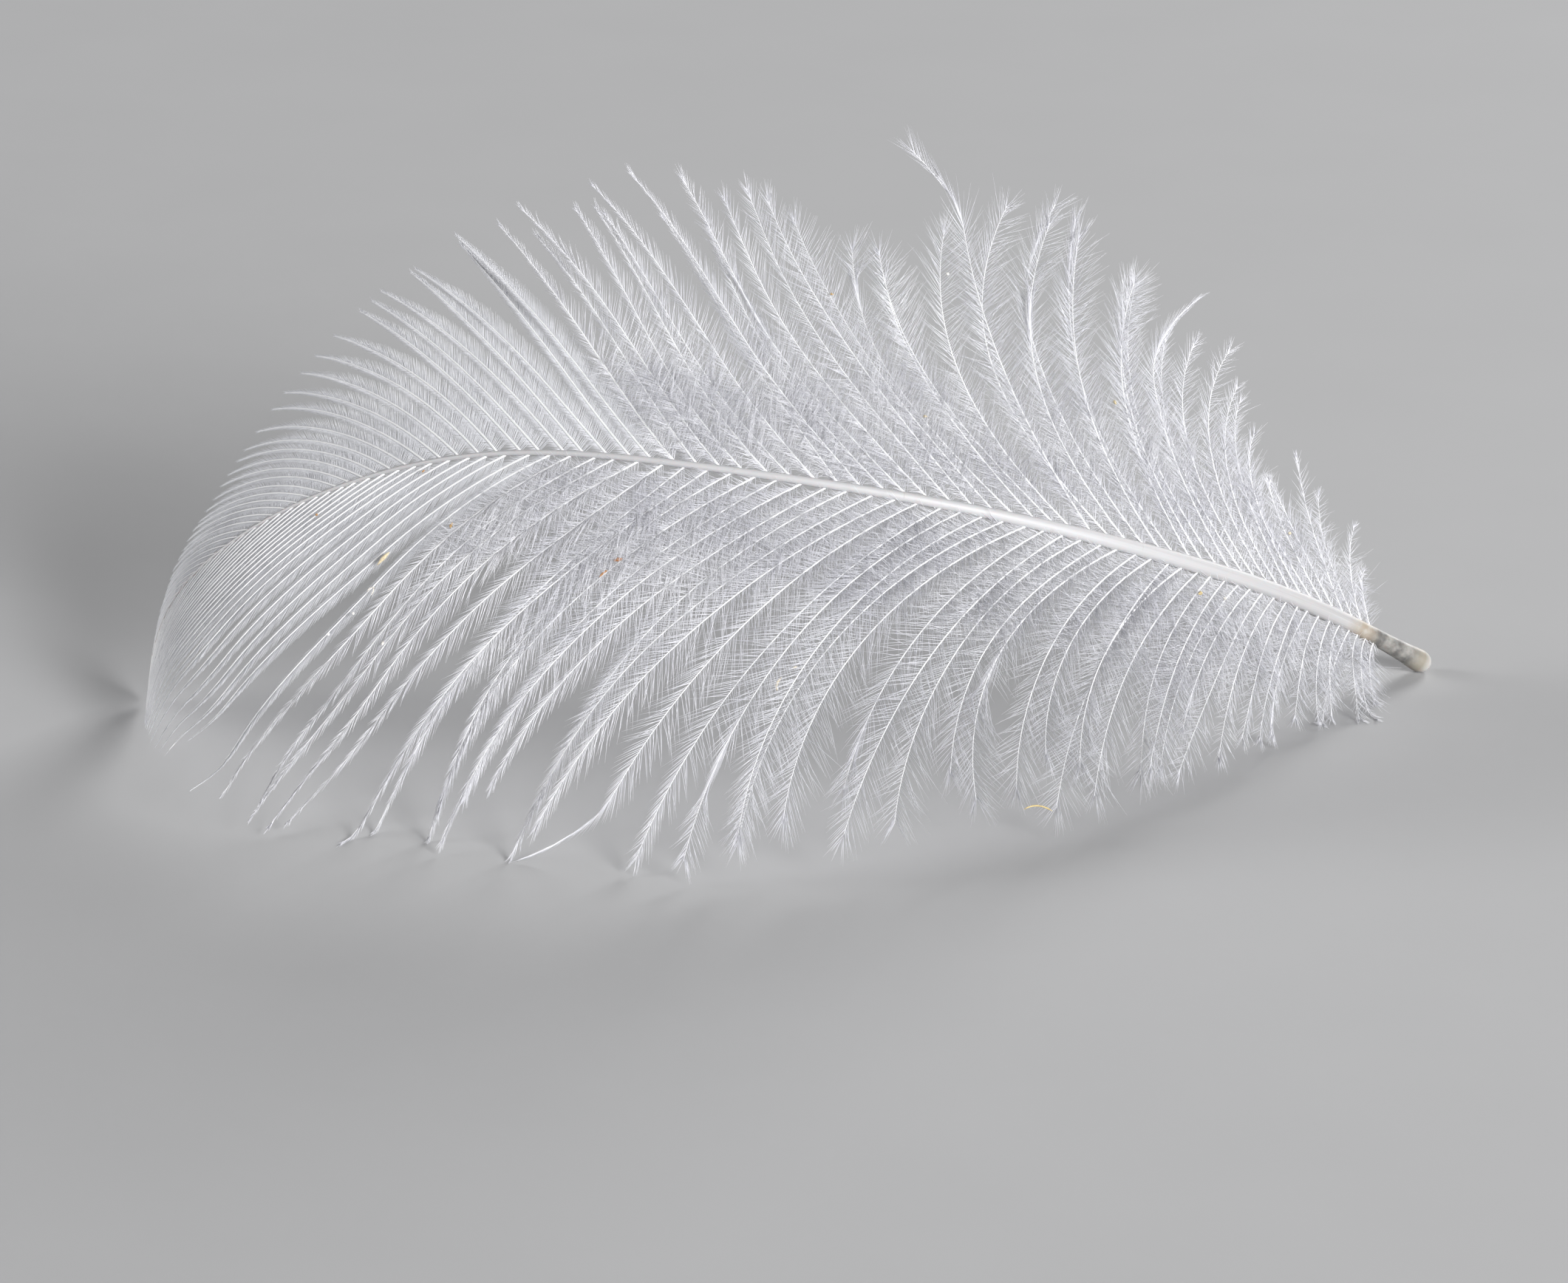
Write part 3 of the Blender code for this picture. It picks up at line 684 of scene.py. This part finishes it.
# Millimetres from one barbule to the next, how much closer they stand near the shaft, their
# radius, and the length of a tuft with the most that its barbules lean together
DOWN_PITCH, DOWN_CROWD, DOWN_RADIUS = 0.215, 1.22, 0.028
DOWN_TUFT, DOWN_LEAN = 1.7, 0.75
# A last tuft of this many barbules fans out from the end of each stem
END_TUFT = 9
barb, part, edge = rows_of(np.flatnonzero(barb_loose >= 0.5), DOWN_PITCH, DOWN_CROWD)
ends = np.repeat(np.flatnonzero(barb_loose > 0.5), END_TUFT)
barb = np.concatenate((barb, ends))
part = np.concatenate((part, chance.uniform(0.975, 1.0, len(ends))))
edge = np.concatenate((edge, np.where(chance.uniform(0.0, 1.0, len(ends)) < 0.5, 1.0, -1.0)))
root = barb_root[barb]
tipward = edge > 0
# Barbules near the quill flare; those of the middle barbs close towards the barb's end
flared = np.interp(root, (47, 61), (1.0, 0.0))
inner_flare = np.interp(root, (53, 64), (1.0, 0.0)) * np.interp(part, (0.70, 0.86), (1.0, 0.0))
flared = np.where(is_rear[barb], flared, np.maximum(flared, inner_flare))
comb_from = np.interp(root, (72, 79), (0.42, 0.12))
slender = np.interp(root, (72, 79), (0.0, 1.0)) * np.clip((part - comb_from) / 0.2, 0.0, 1.0)
flare_angle = np.where(tipward, 52.0, 43.0)
flare_angle = flare_angle * np.interp(part, (0.0, 0.6, 0.93, 1.0), (1.0, 0.92, 0.78, 0.34))
COMB_AT = (0.0, 0.35, 0.6, 0.8, 1.0)
comb_angle = np.where(tipward, np.interp(part, COMB_AT, (54.0, 50.0, 31.0, 21.0, 11.0)),
                      np.interp(part, COMB_AT, (42.0, 38.0, 20.0, 13.0, 8.0)))
flare_length = np.where(tipward, 4.1, 3.5) * np.interp(
    part, (0.0, 0.1, 0.45, 0.8, 0.95, 1.0), (0.30, 0.72, 1.0, 0.92, 0.80, 0.55))
flare_length = flare_length * np.interp(root, (6.5, 14, 30), (0.55, 0.80, 1.0))
# The ends of the last barbs before the quill are worn
worn = np.interp(root, (18, 26), (0.38, 0.0))
flare_length = flare_length * (1.0 - worn * np.clip((part - 0.4) / 0.4, 0.0, 1.0))
comb_length = np.where(tipward, 4.7, 3.3) * np.interp(
    part, (0.0, 0.1, 0.38, 0.6, 0.8, 1.0), (0.30, 0.72, 1.0, 0.64, 0.50, 0.26))
angle = (comb_angle + (flare_angle - comb_angle) * flared) * (1.0 - 0.22 * slender)
length = (comb_length + (flare_length - comb_length) * flared) * (1.0 - 0.30 * slender)
loose = 1.0 - 0.8 * (1.0 - flared) * np.clip((part - comb_from) / 0.24, 0.0, 1.0)
length = length * (1.0 + chance.normal(0.0, 1.0, len(part)) * (0.05 + 0.10 * loose))
angle = angle + drift(barb, part, edge, 0) * (1.0 + 6.0 * loose)
angle = angle + chance.normal(0.0, 1.0, len(part)) * (1.0 + 4.6 * loose)
angle = tufted(angle, length, barb, part, edge, DOWN_TUFT, DOWN_LEAN)
tilt = drift(barb, part, edge, 2) * (1.5 + 8.0 * loose)
tilt = tilt + chance.normal(0.0, 1.0, len(part)) * (1.5 + 7.0 * loose)
angle, tilt = shut_brushes(angle, barb, part), shut_brushes(tilt, barb, part)
rear = is_rear[barb]
QUILL_END, MIDDLE_END = 40.0, 64.0
put_barbules(
    (("down_front_quill", ~rear & (root < QUILL_END)),
     ("down_front_middle", ~rear & (root >= QUILL_END) & (root < MIDDLE_END)),
     ("down_front_far", ~rear & (root >= MIDDLE_END)),
     ("down_rear_quill", rear & (root < QUILL_END)),
     ("down_rear_far", rear & (root >= QUILL_END))),
    down_finish, barb, part, edge, angle, tilt, length, DOWN_RADIUS, 3)


# Fluff beside the shaft
# The first centimetre of every downy barb carries a second, finer and quite untidy set of
# barbules, grown from it, which closes the vane next to the shaft to a soft haze.

# The fluff's two tones are painted darker and greyer than the barbs' white, as painted shade among the
# fibres; the drift between them is the fibre's own.
fluff_finish = keratin("fluff_keratin_painted_shade", (0.82, 0.82, 0.85, 1), (0.64, 0.64, 0.69, 1), 0.5)
# Pitch and radius of the threads, and where they start and how far out they go on a barb (mm)
FLUFF_PITCH, FLUFF_RADIUS = 0.30, 0.022
FLUFF_START, FLUFF_REACH = 0.9, 13.0
barb, part, edge = rows_of(np.flatnonzero(barb_loose >= 0.5), FLUFF_PITCH, 1.0)
part = FLUFF_START / barb_length[barb] + part * np.minimum(FLUFF_REACH / barb_length[barb], 0.6)
angle = np.abs(chance.normal(50.0, 20.0, len(part))) + 6.0
tilt = chance.normal(0.0, 24.0, len(part))
length = chance.uniform(1.2, 3.2, len(part))
length = length * np.interp(part * barb_length[barb], (0.0, 3.0), (0.5, 1.0))
rear = is_rear[barb]
put_barbules((("fluff_front", ~rear), ("fluff_rear", rear)), fluff_finish,
             barb, part, edge, angle, tilt, length, FLUFF_RADIUS, 2)


# Web near the tip
# Short barbules that lie almost along their barb and overlap the next one, hooked together, so
# that the last third of the feather is a smooth ribbed sheet which ends in slender fingers.

# The web's two tones are painted darker and greyer than the barbs' white, as painted shade between the
# ribs; the drift between them is the fibre's own.
web_finish = keratin("web_keratin_painted_shade", (0.76, 0.765, 0.80, 1), (0.62, 0.625, 0.66, 1), 0.42)
WEB_PITCH, WEB_RADIUS, WEB_TUFT, WEB_LEAN = 0.125, 0.034, 1.1, 0.25
# Degrees by which the barbules dip below the barbs, so that the barbs stand proud as ribs
WEB_DIP = 2.5
barb, part, edge = rows_of(np.flatnonzero(barb_loose < 0.5), WEB_PITCH, 1.0)
root = barb_root[barb]
tipward = edge > 0
rear = is_rear[barb]
angle = np.where(rear, np.where(tipward, 42.0, 30.0), np.where(tipward, 30.0, 21.0))
angle = angle * np.interp(part, (0.0, 0.07, 0.5, 0.8, 1.0), (1.9, 1.15, 0.9, 0.58, 0.32))
length = np.where(tipward, 2.3, 1.5) * np.interp(part, (0.0, 0.08, 0.7, 1.0), (0.8, 1.0, 0.85, 0.35))
length = length * np.interp(root, (96, 134), (1.0, 0.6))
angle = angle + drift(barb, part, edge, 0) * 1.0 + chance.normal(0.0, 1.0, len(part)) * 1.0
length = length * (1.0 + chance.normal(0.0, 0.05, len(part)))
angle = tufted(angle, length, barb, part, edge, WEB_TUFT, WEB_LEAN)
tilt = drift(barb, part, edge, 2) * 0.8 + chance.normal(0.0, 0.8, len(part)) - WEB_DIP
put_barbules((("web_front", ~rear), ("web_rear", rear)), web_finish,
             barb, part, edge, angle, tilt, length, WEB_RADIUS, 2)


# Flecks
# Dust and skin caught in the vanes: some white and straw-coloured specks, rust-brown crumbs, one
# pale splinter at the torn edge of the web and a light brown curl at the ends of the front barbs.

FLECKS = (
    # side, along, out, length, width, turn, curl, tint (0 white, 0.5 straw, 1 rust brown); mm, degrees
    (-1, 79.8, 8.8, 0.75, 0.34, 20, 0.1, 1.0), (-1, 80.8, 10.1, 0.95, 0.20, 50, 0.1, 0.95),
    (-1, 111.0, 2.2, 0.30, 0.20, 0, 0.0, 0.9), (-1, 99.9, 0.9, 0.30, 0.17, 30, 0.0, 0.9),
    (-1, 96.2, 6.3, 0.50, 0.22, 70, 0.3, 0.80), (-1, 66.0, 17.7, 1.25, 0.22, 80, 0.3, 0.25),
    (-1, 106.2, 12.9, 0.26, 0.24, 0, 0.0, 0.0), (-1, 108.8, 14.5, 0.30, 0.22, 40, 0.0, 0.0),
    (-1, 102.4, 16.2, 0.36, 0.24, 60, 0.2, 0.05), (-1, 104.4, 10.8, 1.00, 0.10, 10, 0.5, 0.1),
    (-1, 104.1, 11.2, 0.80, 0.09, 75, -0.4, 0.1), (-1, 103.3, 8.3, 1.60, 0.30, 38, 0.05, 0.35),
    (-1, 64.9, 16.2, 0.40, 0.22, 30, 0.0, 0.2), (-1, 29.4, 2.6, 0.50, 0.34, 20, 0.1, 0.6),
    (-1, 26.4, 2.4, 0.36, 0.26, 0, 0.0, 0.1), (-1, 46.3, 25.2, 2.30, 0.17, 8, 0.35, 0.6),
    (1, 54.5, 22.0, 0.36, 0.26, 20, 0.0, 0.0), (1, 56.3, 7.9, 0.34, 0.24, 0, 0.0, 0.4),
    (1, 37.7, 12.8, 0.40, 0.26, 60, 0.1, 0.4), (1, 17.2, 5.8, 0.34, 0.24, 0, 0.0, 0.3),
    (1, 65.9, 18.7, 0.34, 0.22, 10, 0.0, 0.8),
)
FLECK_RINGS, FLECK_SIDES = 7, 6
FLECK_LIFT = 0.30
fleck = np.array(FLECKS)
side, along_shaft, out_from, size, width, turn, curled, tinted = (column[:, None] for column in fleck.T)
fleck_t = np.linspace(-1.0, 1.0, FLECK_RINGS)[None, :]
turn = np.radians(turn)
half = 0.5 * size
fleck_s = along_shaft + half * (fleck_t * np.cos(turn) - curled * fleck_t ** 2 * np.sin(turn))
fleck_w = out_from + half * (fleck_t * np.sin(turn) + curled * fleck_t ** 2 * np.cos(turn))
fleck_side = np.broadcast_to(side, fleck_s.shape)
fleck_centres, fleck_up = on_form(fleck_s, fleck_w, np.full(fleck_s.shape, FLECK_LIFT), fleck_side)
lumps = 1.0 + chance.uniform(-0.25, 0.25, fleck_s.shape)
fleck_radii = 0.5 * width * np.sqrt(np.maximum(1.0 - fleck_t ** 2, 0.02)) * lumps
fleck_points, fleck_faces = skin_tubes(fleck_centres, fleck_radii, fleck_up, FLECK_SIDES)
fleck_tints = np.repeat(tinted, FLECK_RINGS * FLECK_SIDES)
fleck_uv = np.stack([fleck_tints, np.zeros_like(fleck_tints)], axis=-1)

fleck_finish = Finish("fleck_crust", Roughness=0.6)
fleck_uv_map = fleck_finish.node("ShaderNodeUVMap", {"uv_map": "run"})
tint = fleck_finish.out(fleck_finish.node(
    "ShaderNodeSeparateXYZ", None, {"Vector": fleck_finish.out(fleck_uv_map)}), "X")
crust = fleck_finish.noise(fleck_finish.place(), 6000.0, 2.0)
colour = fleck_finish.blend(tint.ramp(0.0, 0.5), (0.86, 0.85, 0.83, 1), (0.66, 0.52, 0.24, 1))
colour = fleck_finish.blend(tint.ramp(0.6, 1.0), colour, (0.42, 0.19, 0.08, 1))
colour = fleck_finish.blend(crust.ramp(0.45, 0.75) * 0.45, colour, (0.20, 0.13, 0.08, 1))
fleck_finish.drive("Base Color", colour)
fleck_finish.drive("Roughness", 0.45 + 0.3 * crust)
put_in_mesh("flecks", fleck_points, fleck_faces, fleck_uv, fleck_finish)
